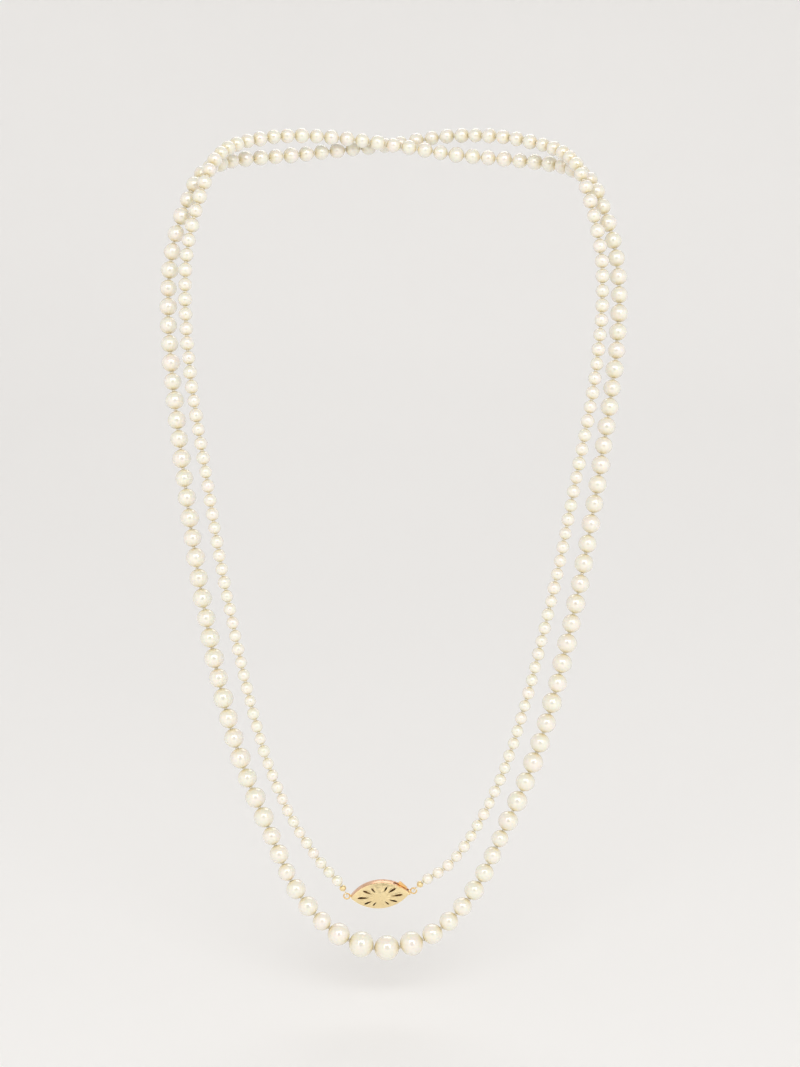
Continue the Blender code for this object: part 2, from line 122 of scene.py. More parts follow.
# ---------------------------------------------------------------- the clasp, in millimetres
# u runs along it, v across and w forwards.
CLASP_TILT = math.radians(6.0)
CASE_HALF_LENGTH = 6.5
CASE_HALF_WIDTH = 3.0
CASE_DEPTH = 1.9
CASE_WALL = 0.35
CASE_ROUNDING = 0.3
PLATE_BOTTOM = 1.92
PLATE_RIM = 2.3
PLATE_RISE = 0.66
PLATE_DOME_POWER = 2.4
PLATE_THICKNESS = 0.3
FLUTE_ALLOWANCE = 0.08
UNDERSIDE_SHARE = 0.985
RIM_BEADS = 0.03
MOUTH_LOW = (3.2, -0.95, 0.6)
MOUTH_HIGH = (8.0, 3.5, 1.5)
STRIP_LOW_W = 0.7
STRIP_HIGH_W = 1.4
RING_RADIUS = 0.65
RING_WIRE = 0.17
RING_PLACE = 7.42
RING_DEPTH = 1.05
LOOP_RADIUS = 0.52
LOOP_WIRE = 0.14
BEAD_DIAMETER = 1.5
BEAD_LENGTH = 1.35
BEAD_BORE = 0.3
BEAD_LIP = 0.08
BEAD_GAP = 0.12
STRAND_START_GAP = 0.12
EYE_DIRECTION = (-0.42, 0.0, 0.91)
HOOK_DIRECTION = (0.66, 0.0, 0.75)
PLATE_SLOTS = (  # direction in degrees, start, end, half width
    (0.0, 2.45, 5.0, 0.345), (24.0, 2.05, 4.0, 0.299), (-24.0, 2.05, 4.0, 0.299),
    (50.0, 1.5, 2.75, 0.2415), (-50.0, 1.5, 2.75, 0.2415),
)
SLOT_CUT = (1.0, 4.0)  # from below the plate to above it
FLUTE_SPACING = math.radians(24.0)
FLUTE_DEPTH = 0.07
CUT_LINE_SPACING = math.radians(4.8)
CUT_LINE_DEPTH = 0.035
EDGE_LINE_DEPTH = 0.05
BOSS_HEIGHT = 0.06
BOSS_LINE_DEPTH = 0.04
HOOK_OUTLINE = [
    (-4.65, -0.75), (6.66, -0.75), (6.74, -0.1), (6.7, 0.18), (6.3, 0.15), (5.85, -0.45),
    (-4.35, -0.45), (-4.35, 0.6), (-4.65, 0.6),
]
SPRING_OUTLINE = [
    (-4.33, 0.22), (4.4, 1.15), (5.5, 0.5), (5.98, 0.55), (6.0, 1.05), (5.35, 1.75), (4.85, 2.35),
    (4.45, 2.42), (4.25, 2.2), (4.3, 1.55), (-4.33, 0.57),
]
LUG_OUTLINE = [(-6.85, -0.16), (-6.2, -0.3), (-6.2, 0.3), (-6.85, 0.16)]
LUG_LOW_W = 0.85
LUG_HIGH_W = 1.25

# ---------------------------------------------------------------- pearls and silk, in millimetres
PEARL_CLOSENESS = 0.16  # a shown pearl is this much longer than its solid
PEARL_FULLNESS = 1.02  # and this many times as wide
PEARL_SIDES = 24
PEARL_RINGS = 15
CENTRE_SIDES = 36
CENTRE_RINGS = 24
SMALL_BORE = 0.3
CENTRE_BORE = 0.4
UNEVENNESS = ((0.035, 1.9), (0.018, 3.3), (0.006, 7.5))  # depth as a share of the radius, and waves
GROOVE_DEPTH = 0.012
GROOVE_WIDTH = 0.1
HOLE_LIP = 0.06
FIRST_SEED = 4000
THREAD_RADIUS = 0.2
THREAD_RIDGES = 0.1
THREAD_SIDES = 12
KNOT_HALF_LENGTH = 0.17
KNOT_PROFILE = (  # place as a share of half the knot, and radius
    (-1.0, THREAD_RADIUS), (-0.78, 0.33), (-0.4, 0.41), (0.0, 0.42), (0.4, 0.41), (0.78, 0.33),
    (1.0, THREAD_RADIUS),
)
TAIL_START = 0.6
TAIL_SWELL = 1.6
TAIL_OVERLAP = 0.2
LOOP_THREAD_RADIUS = 0.13
LOOP_THREAD_SIDES = 10
LOOP_THREAD_RIDGES = 0.14
LOOP_THREAD_TWIST = 5200.0

# ---------------------------------------------------------------- camera
CAMERA_LENS = 68.4
CAMERA_DISTANCE = 0.450
CAMERA_ELEVATION = math.radians(16.0)
CAMERA_ROLL = math.radians(0.85)
CAMERA_TARGET = Vector((0.0022, -0.015, -0.0765))
CAMERA_SIDE = Vector((0.0, -math.cos(CAMERA_ELEVATION), math.sin(CAMERA_ELEVATION)))
LENS_SHADE_RADIUS = 0.165
LENS_SHADE_BEHIND = 0.01
LIT_POINT = Vector((0.0, 0.0, -0.08))
STAGE_GAP = 0.012


def metres(point):
    return Vector(point) * MM


def mirrored(points):
    return [(-x, y, z) for x, y, z in points]


# ================================================================ camera, floor and light

def make_camera():
    data = bpy.data.cameras.new("camera")
    data.lens = CAMERA_LENS
    data.sensor_width = 36.0
    data.clip_start = 0.01
    data.clip_end = 20.0
    camera = bpy.data.objects.new("camera", data)
    bpy.context.scene.collection.objects.link(camera)
    camera.location = CAMERA_TARGET + CAMERA_SIDE * CAMERA_DISTANCE
    level = (-CAMERA_SIDE).to_track_quat("-Z", "Y")
    camera.rotation_mode = "QUATERNION"
    camera.rotation_quaternion = level @ Quaternion((0.0, 0.0, 1.0), CAMERA_ROLL)
    bpy.context.scene.camera = camera
    return camera


def soft_box(name, place, size, power, colour=(1.0, 1.0, 1.0)):
    """A rectangular lamp turned towards the necklace, itself never seen."""
    data = bpy.data.lights.new(name, "AREA")
    data.shape = "RECTANGLE"
    data.size, data.size_y = size
    data.energy = power
    data.color = colour
    lamp = bpy.data.objects.new(name, data)
    bpy.context.scene.collection.objects.link(lamp)
    lamp.location = place
    lamp.rotation_mode = "QUATERNION"
    lamp.rotation_quaternion = (LIT_POINT - lamp.location).to_track_quat("-Z", "Y")
    lamp.visible_camera = False


def light_room():
    world = bpy.data.worlds.new("white_room")
    bpy.context.scene.world = world
    world.use_nodes = True
    background = world.node_tree.nodes["Background"]
    background.inputs["Color"].default_value = (1.0, 0.99, 0.97, 1.0)
    background.inputs["Strength"].default_value = 0.52
    soft_box("key_above", (0.07, -0.77, 0.50), (1.15, 0.66), 5.0)
    soft_box("fill_left", (-0.80, -0.30, 0.10), (0.5, 0.9), 0.35, (1.0, 0.98, 0.95))
    soft_box("fill_right", (0.80, -0.30, 0.10), (0.5, 0.9), 0.25, (0.95, 0.98, 1.0))
    soft_box("back_above", (0.05, 0.75, 0.60), (0.8, 0.5), 1.6)


def make_stage():
    """A pale floor that curves up all round into a pale wall."""
    floor = cad_box[0].z - STAGE_GAP
    radius, bend, height, segments, arc_steps = 1.1, 0.5, 1.2, 96, 12
    profile = [(0.02, floor), (0.35, floor), (radius - bend, floor)]
    for i in range(1, arc_steps + 1):
        angle = math.pi / 2 * i / arc_steps
        profile.append((radius - bend + bend * math.sin(angle), floor + bend * (1 - math.cos(angle))))
    profile.append((radius, floor + height))
    points = [(0.0, 0.0, floor)]
    for r, z in profile:
        for k in range(segments):
            angle = 2 * math.pi * k / segments
            points.append((r * math.cos(angle), r * math.sin(angle), z))
    faces = [(0, 1 + k, 1 + (k + 1) % segments) for k in range(segments)]
    faces += [tuple(1 + i for i in face) for face in ring_faces(len(profile), segments, False)]
    mesh = bpy.data.meshes.new("studio_cove")
    mesh.from_pydata(points, [], faces)
    mesh.shade_smooth()
    cove = bpy.data.objects.new("studio_cove", mesh)
    bpy.context.scene.collection.objects.link(cove)
    mesh.materials.append(paper_material())


def make_lens_shade(camera):
    """A dark disc behind the camera, which the pearls mirror as one small grey dot each."""
    sides, points = 40, []
    for k in range(sides):
        angle = 2 * math.pi * k / sides
        points.append((LENS_SHADE_RADIUS * math.cos(angle), LENS_SHADE_RADIUS * math.sin(angle), 0.0))
    mesh = bpy.data.meshes.new("lens_shade")
    mesh.from_pydata(points, [], [tuple(range(sides))])
    shade = bpy.data.objects.new("lens_shade", mesh)
    bpy.context.scene.collection.objects.link(shade)
    shade.location = camera.location + CAMERA_SIDE * LENS_SHADE_BEHIND
    shade.rotation_mode = "QUATERNION"
    shade.rotation_quaternion = CAMERA_SIDE.to_track_quat("Z", "Y")
    material, shader = new_material("lens_black")
    shader.inputs["Base Color"].default_value = (0.02, 0.02, 0.02, 1.0)
    shader.inputs["Roughness"].default_value = 0.6
    mesh.materials.append(material)
    shade.visible_camera = False
    shade.visible_diffuse = False
    shade.visible_shadow = False
    shade.visible_transmission = False


# ================================================================ materials
# Where a material has two colours, it changes from one to the other.

CREAM_NACRE = ((0.86, 0.83, 0.72, 1.0), (0.88, 0.82, 0.73, 1.0))
GREEN_OVERTONE = (0.83, 0.835, 0.70, 1.0)
ROSE_OVERTONE = (0.90, 0.81, 0.76, 1.0)
# Honey: partly the nacre's own colour round the drill holes, partly painted shade where the pearls meet and
# in the crevices between them.
HONEY_NACRE_AND_PAINTED_SHADE = (0.79, 0.66, 0.36, 1.0)
IVORY_SILK = ((0.93, 0.90, 0.82, 1.0), (0.80, 0.74, 0.60, 1.0))
YELLOW_GOLD = ((0.93, 0.70, 0.36, 1.0), (0.90, 0.64, 0.30, 1.0))
# Painted reflection: a rose-brown gold for the case, standing in for the darker reflections on its sides.
ROSE_BROWN_PAINTED_REFLECTION = ((0.84, 0.55, 0.38, 1.0), (0.78, 0.48, 0.30, 1.0))
PALE_GOLD = ((0.96, 0.79, 0.46, 1.0), (0.93, 0.75, 0.42, 1.0))
DEEP_GOLD = ((0.93, 0.60, 0.26, 1.0), (0.90, 0.56, 0.22, 1.0))
PALE_PAPER = ((0.89, 0.88, 0.87, 1.0), (0.92, 0.91, 0.90, 1.0))


def new_material(name):
    material = bpy.data.materials.new(name)
    material.use_nodes = True
    return material, material.node_tree.nodes["Principled BSDF"]


def node(tree, kind, **values):
    """A node with its properties and, by socket name, its inputs set."""
    made = tree.nodes.new(kind)
    for key, value in values.items():
        if hasattr(made, key):
            setattr(made, key, value)
        else:
            made.inputs[key.replace("_", " ")].default_value = value
    return made


def mapped(tree, source, low, high, low_out, high_out):
    """A value moved from one range into another."""
    ramp = node(tree, "ShaderNodeMapRange")
    ramp.inputs["From Min"].default_value = low
    ramp.inputs["From Max"].default_value = high
    ramp.inputs["To Min"].default_value = low_out
    ramp.inputs["To Max"].default_value = high_out
    tree.links.new(source, ramp.inputs["Value"])
    return ramp.outputs["Result"]


def mixed_colour(tree, factor, first, second, blend="MIX"):
    """A mix of two colours, each a constant or a socket."""
    mix = tree.nodes.new("ShaderNodeMix")
    mix.data_type = "RGBA"
    mix.blend_type = blend
    for socket, value in ((mix.inputs[0], factor), (mix.inputs[6], first), (mix.inputs[7], second)):
        if isinstance(value, bpy.types.NodeSocket):
            tree.links.new(value, socket)
        else:
            socket.default_value = value
    return mix.outputs[2]


def noise(tree, scale, detail=2.0, roughness=0.5, vector=None):
    made = node(tree, "ShaderNodeTexNoise", Scale=scale, Detail=detail, Roughness=roughness)
    if vector is None:
        vector = node(tree, "ShaderNodeTexCoord").outputs["Object"]
    tree.links.new(vector, made.inputs["Vector"])
    return made.outputs["Fac"]


def bumped(tree, shader, height, distance, strength=1.0):
    bump = node(tree, "ShaderNodeBump", Strength=strength, Distance=distance)
    tree.links.new(height, bump.inputs["Height"])
    tree.links.new(bump.outputs["Normal"], shader.inputs["Normal"])


def attribute(tree, name):
    made = tree.nodes.new("ShaderNodeAttribute")
    made.attribute_name = name
    return made.outputs["Fac"]


def paper_material():
    material, shader = new_material("pale_paper")
    tree = material.node_tree
    colour = mixed_colour(tree, noise(tree, 3.0), *PALE_PAPER)
    tree.links.new(colour, shader.inputs["Base Color"])
    shader.inputs["Roughness"].default_value = 0.85
    bumped(tree, shader, noise(tree, 900.0), 0.0001, 0.15)
    return material


def nacre_material():
    """Cream nacre: rose and green overtones, honey round the drill holes (partly the pearl's own colour,
    partly painted shade where pearls meet), honey painted shade in the crevices between pearls, soft depth
    and a clear gloss.
    """
    material, shader = new_material("nacre")
    tree = material.node_tree
    tone = attribute(tree, "tone")
    patches = noise(tree, 420.0, 1.5)
    blush = noise(tree, 260.0, 1.0)
    body = mixed_colour(tree, tone, *CREAM_NACRE)
    body = mixed_colour(tree, mapped(tree, patches, 0.42, 0.62, 0.0, 0.6), body, GREEN_OVERTONE)
    body = mixed_colour(tree, mapped(tree, blush, 0.5, 0.72, 0.0, 0.65), body, ROSE_OVERTONE)
    # Painted shade: honey darkening in the crevices between pearls, taken from ambient occlusion.
    painted_crevice_shade = node(tree, "ShaderNodeAmbientOcclusion", Distance=0.0022)
    painted_crevice_shade.samples = 8
    # Honey share: the larger of the drill-hole share (own colour and painted shade) and the painted crevice
    # shade.
    honey_and_painted_shade = node(tree, "ShaderNodeMath", operation="MAXIMUM")
    tree.links.new(mapped(tree, attribute(tree, "end_shade"), 0.0, 1.0, 0.0, 0.95), honey_and_painted_shade.inputs[0])
    tree.links.new(mapped(tree, painted_crevice_shade.outputs["AO"], 0.85, 0.25, 0.0, 0.8), honey_and_painted_shade.inputs[1])
    body = mixed_colour(tree, honey_and_painted_shade.outputs["Value"], body, HONEY_NACRE_AND_PAINTED_SHADE)
    tree.links.new(body, shader.inputs["Base Color"])
    tree.links.new(mapped(tree, noise(tree, 700.0, 3.0), 0.3, 0.7, 0.11, 0.19), shader.inputs["Roughness"])
    shader.inputs["IOR"].default_value = 1.7
    shader.inputs["Subsurface Weight"].default_value = 0.18
    shader.inputs["Subsurface Radius"].default_value = (1.0, 0.75, 0.42)
    shader.inputs["Subsurface Scale"].default_value = 0.0009
    shader.inputs["Coat Weight"].default_value = 1.0
    shader.inputs["Coat Roughness"].default_value = 0.05
    shader.inputs["Coat IOR"].default_value = 2.1
    ripples = node(tree, "ShaderNodeMath", operation="ADD")
    tree.links.new(noise(tree, 1500.0, 3.0, 0.6), ripples.inputs[0])
    tree.links.new(mapped(tree, noise(tree, 380.0, 1.0), 0.0, 1.0, 0.0, 3.0), ripples.inputs[1])
    bumped(tree, shader, ripples.outputs["Value"], 0.00002, 0.35)
    return material


def gold_material(name, colours, roughness, scratch):
    """Polished gold with hairlines, a little deeper in colour and duller in patches."""
    material, shader = new_material(name)
    tree = material.node_tree
    shader.inputs["Metallic"].default_value = 1.0
    patches = noise(tree, 700.0, 2.0)
    colour = mixed_colour(tree, mapped(tree, patches, 0.35, 0.65, 0.0, 1.0), *colours)
    tree.links.new(colour, shader.inputs["Base Color"])
    tree.links.new(mapped(tree, noise(tree, 2600.0, 3.0), 0.3, 0.7, *roughness), shader.inputs["Roughness"])
    stretch = node(tree, "ShaderNodeMapping")
    stretch.inputs["Scale"].default_value = (1.0, 1.0, 9.0)
    stretch.inputs["Rotation"].default_value = (0.3, 0.5, 0.2)
    tree.links.new(node(tree, "ShaderNodeTexCoord").outputs["Object"], stretch.inputs["Vector"])
    bumped(tree, shader, noise(tree, 3800.0, 2.0, 0.5, stretch.outputs["Vector"]), 0.00001, scratch)
    return material


def silk_material():
    """Twisted ivory silk."""
    material, shader = new_material("silk_thread")
    tree = material.node_tree
    fibres = noise(tree, 5200.0, 3.0, 0.7)
    colour = mixed_colour(tree, mapped(tree, fibres, 0.3, 0.7, 0.0, 1.0), *IVORY_SILK)
    tree.links.new(colour, shader.inputs["Base Color"])
    tree.links.new(mapped(tree, fibres, 0.2, 0.8, 0.5, 0.8), shader.inputs["Roughness"])
    shader.inputs["Sheen Weight"].default_value = 0.5
    shader.inputs["Sheen Roughness"].default_value = 0.35
    shader.inputs["Subsurface Weight"].default_value = 0.1
    shader.inputs["Subsurface Radius"].default_value = (0.6, 0.5, 0.4)
    shader.inputs["Subsurface Scale"].default_value = 0.0003
    bumped(tree, shader, fibres, 0.00003, 0.8)
    return material


# ================================================================ the strand's own geometry

def smooth_points(points):
    """Points of a Catmull-Rom curve through the given ones, and the index of each given one."""
    ends = [2 * points[0] - points[1], *points, 2 * points[-1] - points[-2]]
    made, marks = [], []
    for i in range(1, len(ends) - 2):
        before, start, end, after = ends[i - 1], ends[i], ends[i + 1], ends[i + 2]
        marks.append(len(made))
        for step in range(ROUTE_STEPS):
            t = step / ROUTE_STEPS
            made.append(0.5 * (
                2 * start + (end - before) * t
                + (2 * before - 5 * start + 4 * end - after) * t ** 2
                + (3 * start - before - 3 * end + after) * t ** 3
            ))
    marks.append(len(made))
    made.append(points[-1])
    return made, marks


class Stretch:
    """One length of the strand, measured along its own curve."""

    def __init__(self, points):
        self.points = points
        self.lengths = [0.0]
        for near, far in zip(points, points[1:]):
            self.lengths.append(self.lengths[-1] + (far - near).length)
        self.length = self.lengths[-1]

    def at(self, distance):
        distance = min(max(distance, 0.0), self.length)
        i = 1
        while self.lengths[i] < distance and i < len(self.lengths) - 1:
            i += 1
        span = self.lengths[i] - self.lengths[i - 1]
        return self.points[i - 1].lerp(self.points[i], (distance - self.lengths[i - 1]) / span)


def strand_stretches(case_start, hook_start):
    """The whole strand from the case end to the hook end, cut at its bending knots."""
    parts = [
        ("inner_lower_left", [case_start, *mirrored(INNER_LOWER_ROUTE)]),
        ("inner_upper_left", mirrored(INNER_UPPER_ROUTE)),
        ("under_wrap", [*mirrored(INNER_SIDE_ROUTE), *UNDER_WRAP_ROUTE, *reversed(OUTER_SIDE_ROUTE),
                        OUTER_UPPER_ROUTE[-1]]),
        ("outer_upper_right", [*reversed(OUTER_UPPER_ROUTE[:-1]), OUTER_LOWER_ROUTE[-1]]),
        ("outer_lower_right", [*reversed(OUTER_LOWER_ROUTE[:-1]), OUTER_BOTTOM_ROUTE[-1]]),
        ("centre", [*reversed(OUTER_BOTTOM_ROUTE[:-1]), *mirrored(OUTER_BOTTOM_ROUTE[1:])]),
        ("outer_lower_left", mirrored(OUTER_LOWER_ROUTE)),
        ("outer_upper_left", mirrored(OUTER_UPPER_ROUTE)),
        ("over_wrap", [*mirrored(OUTER_SIDE_ROUTE), *OVER_WRAP_ROUTE, *reversed(INNER_SIDE_ROUTE),
                       INNER_UPPER_ROUTE[-1]]),
        ("inner_upper_right", [*reversed(INNER_UPPER_ROUTE[:-1]), INNER_LOWER_ROUTE[-1]]),
        ("inner_lower_right", [*reversed(INNER_LOWER_ROUTE[:-1]), hook_start]),
    ]
    route, last = [], []
    for _, points in parts:
        route += [metres(p) for p in points]
        last.append(len(route) - 1)
    curve, marks = smooth_points(route)
    stretches, start = {}, 0
    for (name, _), end in zip(parts, last):
        stretches[name] = Stretch(curve[marks[start]:marks[end] + 1])
        start = end
    return stretches


def pearl_diameter(distance, index):
    """Diameter in millimetres of a pearl whose middle is that far from the strand's centre."""
    steady = SMALLEST_DIAMETER + STEADY_GROWTH * (1.0 - distance / STRAND_HALF_LENGTH)
    return steady * (1.0 + SIZE_VARIATION * math.sin(VARIATION_STEP * index))


def graded_diameters(stretch, count, nearest, inwards):
    """The diameters in millimetres of the pearls of a stretch, in the order they are strung.

    nearest is the distance in metres from the strand's centre to the stretch's nearer end, and
    inwards says that the stretch runs towards the strand's centre.
    """
    diameters = []
    for i in range(count):
        along = stretch.length * (i + 0.5) / count
        distance = nearest + (stretch.length - along if inwards else along)
        diameters.append(pearl_diameter(distance / MM, count - 1 - i if inwards else i))
    return diameters


def pearls_on(stretch, diameters):
    """Where each pearl of a stretch sits: (start, end, diameter) along it, in metres."""
    gap = (stretch.length - sum(diameters) * LENGTH_SHARE * MM) / len(diameters)
    made, start = [], gap / 2
    for diameter in diameters:
        end = start + diameter * LENGTH_SHARE * MM
        made.append((start, end, diameter * MM))
        start = end + gap
    return made


# ================================================================ mesh helpers

def new_object(name, points, faces, material, smooth=True):
    mesh = bpy.data.meshes.new(name)
    mesh.from_pydata([tuple(p) for p in points], [], faces)
    mesh.materials.append(material)
    if smooth:
        mesh.shade_smooth()
    thing = bpy.data.objects.new(name, mesh)
    bpy.context.scene.collection.objects.link(thing)
    return thing


def add_attribute(thing, name, values):
    made = thing.data.attributes.new(name, "FLOAT", "POINT")
    made.data.foreach_set("value", np.asarray(values, np.float32))


def ring_faces(rings, sides, closed):
    """Quads between successive rings of points, and from the last ring to the first if closed."""
    faces = []
    for i in range(rings if closed else rings - 1):
        low, high = i * sides, (i + 1) % rings * sides
        for k in range(sides):
            j = (k + 1) % sides
            faces.append((low + k, high + k, high + j, low + j))
    return faces


class Nacre:
    """Gathers drilled pearls into one mesh."""

    def __init__(self):
        self.points, self.faces, self.tones, self.shades = [], [], [], []

    def add(self, start, end, length, diameter, bore, number, sides, rings):
        """A pearl midway between two points of the thread, slightly uneven in its own way."""
        chance = np.random.RandomState(FIRST_SEED + number)
        half, radius = (length + PEARL_CLOSENESS * MM) / 2, diameter * PEARL_FULLNESS / 2
        turn = math.asin(bore / radius) * 1.12
        angles = np.linspace(turn, math.pi - turn, rings)
        around = 2 * math.pi * np.arange(sides) / sides
        sin_a, cos_a = np.sin(angles)[:, None], np.cos(angles)[:, None]
        facing = np.stack([sin_a * np.cos(around), sin_a * np.sin(around), cos_a + 0 * around], axis=-1)
        shrink = np.zeros(facing.shape[:2])
        for amount, waves in UNEVENNESS:
            way = chance.normal(size=3)
            way /= np.linalg.norm(way)
            phase = chance.uniform(0, 2 * math.pi)
            shrink += amount * (1 - np.sin(waves * (facing @ way) + phase)) / 2
        groove, place = chance.uniform(0.0, GROOVE_DEPTH), chance.uniform(0.9, 2.2)
        shrink += groove * np.exp(-((angles[:, None] - place) / GROOVE_WIDTH) ** 2)
        body = facing * (1 - shrink)[..., None] * np.array([radius, radius, half])
        lip = 0.93 * bore
        lip_z = (half * math.cos(turn) - HOLE_LIP * MM) * 0.985
        lips = [np.stack([lip * np.cos(around), lip * np.sin(around), 0 * around + z], axis=-1)
                for z in (lip_z, -lip_z)]
        shape = np.concatenate([lips[0][None], body, lips[1][None]]).reshape(-1, 3)
        spin = Quaternion((0.0, 0.0, 1.0), chance.uniform(0, 2 * math.pi))
        facing_end = (end - start).to_track_quat("Z", "Y") @ spin
        matrix = Matrix.Translation((start + end) / 2) @ facing_end.to_matrix().to_4x4()
        first = len(self.points)
        self.points += [matrix @ Vector(p) for p in shape]
        self.faces += [tuple(first + i for i in face) for face in ring_faces(rings + 2, sides, True)]
        self.tones += [chance.uniform(0, 1)] * len(shape)
        # Honey share near the drill holes: partly the pearl's own colour, partly painted shade where pearls
        # meet.
        nearness = np.concatenate([[1.0], np.abs(np.cos(angles)), [1.0]])
        self.shades += list(np.repeat(nearness ** 3.0, sides))

    def build(self, name, material):
        thing = new_object(name, self.points, self.faces, material)
        add_attribute(thing, "tone", self.tones)
        add_attribute(thing, "end_shade", self.shades)
        return thing


def swept(name, stations, sides, material, ridges=0.0, plies=3, twist=2600.0, closed=False):
    """A tube through (point, radius) stations, with twisted ridges like the plies of a thread."""
    centres = [p for p, _ in stations]
    count = len(centres)
    points, along = [], 0.0
    around = [centres[-1], *centres, centres[0]] if closed else [centres[0], *centres, centres[-1]]
    tangents = [(around[i + 2] - around[i]).normalized() for i in range(count)]
    side = tangents[0].orthogonal().normalized()
    for i, (centre, radius) in enumerate(stations):
        if i:
            along += (centre - centres[i - 1]).length
        side = (side - tangents[i] * side.dot(tangents[i])).normalized()
        other = tangents[i].cross(side)
        for k in range(sides):
            angle = 2 * math.pi * k / sides
            r = radius * (1.0 + ridges * math.cos(plies * angle + twist * along))
            points.append(centre - (side * math.cos(angle) - other * math.sin(angle)) * r)
    faces = ring_faces(count, sides, closed)
    if not closed:
        faces.append(tuple(range(sides)))
        faces.append(tuple(reversed(range((count - 1) * sides, count * sides))))
    return new_object(name, points, faces, material)


def face_outwards(thing):
    shape = bmesh.new()
    shape.from_mesh(thing.data)
    bmesh.ops.recalc_face_normals(shape, faces=shape.faces)
    shape.to_mesh(thing.data)
    shape.free()


def settle(thing):
    """Applies an object's modifiers to its mesh."""
    seen = thing.evaluated_get(bpy.context.evaluated_depsgraph_get())
    mesh = bpy.data.meshes.new_from_object(seen)
    old = thing.data
    thing.modifiers.clear()
    thing.data = mesh
    bpy.data.meshes.remove(old)
    return thing


def carve(thing, cutters):
    """Cuts closed meshes out of an object, then removes them."""
    for cutter in cutters:
        step = thing.modifiers.new("cut", "BOOLEAN")
        step.operation = "DIFFERENCE"
        step.solver = "EXACT"
        step.object = cutter
    bpy.context.view_layer.update()
    settle(thing)
    for cutter in cutters:
        bpy.data.objects.remove(cutter)
    return thing


ROUNDED_FROM = math.radians(35.0)
SHARP_FROM = math.radians(50.0)


def soften(thing, width, segments=2):
    """Rounds the sharp edges and shades the rest smooth."""
    rounding = thing.modifiers.new("rounding", "BEVEL")
    rounding.width = width
    rounding.segments = segments
    rounding.limit_method = "ANGLE"
    rounding.angle_limit = ROUNDED_FROM
    rounding.harden_normals = False
    bpy.context.view_layer.update()
    settle(thing)
    thing.data.shade_smooth()
    thing.data.set_sharp_from_angle(angle=SHARP_FROM)
    return thing


def prism(name, outline, low, high, place, material):
    """A closed plate of an outline in millimetres, from low to high in w."""
    count = len(outline)
    points = [place @ metres((u, v, w)) for w in (low, high) for u, v in outline]
    faces = [tuple(reversed(range(count))), tuple(range(count, 2 * count))]
    for i in range(count):
        j = (i + 1) % count
        faces.append((i, j, count + j, count + i))
    thing = new_object(name, points, faces, material, smooth=False)
    face_outwards(thing)
    return thing


# ================================================================ the strand

def run_bodies():
    """The CAD body of each node."""
    return {name: body for body, names in frame["record"]["behaviour"]["bodies"].items() for name in names}


def knot_stations(stretch, place):
    """A small round knot in the thread at one distance along it."""
    return [
        (stretch.at(place + share * KNOT_HALF_LENGTH * MM), radius * MM) for share, radius in KNOT_PROFILE
    ]


def half_gap_of(pearls):
    """Half of the gap that a stretch keeps between each two of its pearls."""
    return (pearls[1][0] - pearls[0][1]) / 2


def thread_stations(stretch, pearls):
    """The thread through some pearls, with a knot after each."""
    half_gap = half_gap_of(pearls)
    made = [(stretch.at(pearls[0][0] - half_gap), THREAD_RADIUS * MM)]
    for start, end, _ in pearls:
        made.append((stretch.at(start + 0.25 * (end - start)), THREAD_RADIUS * MM))
        made.append((stretch.at(end - 0.25 * (end - start)), THREAD_RADIUS * MM))
        made += knot_stations(stretch, end + half_gap)
    return made


def move_as_one(thing):
    """Bakes the piece's placing into its mesh; it rides with no body."""
    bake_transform(thing)


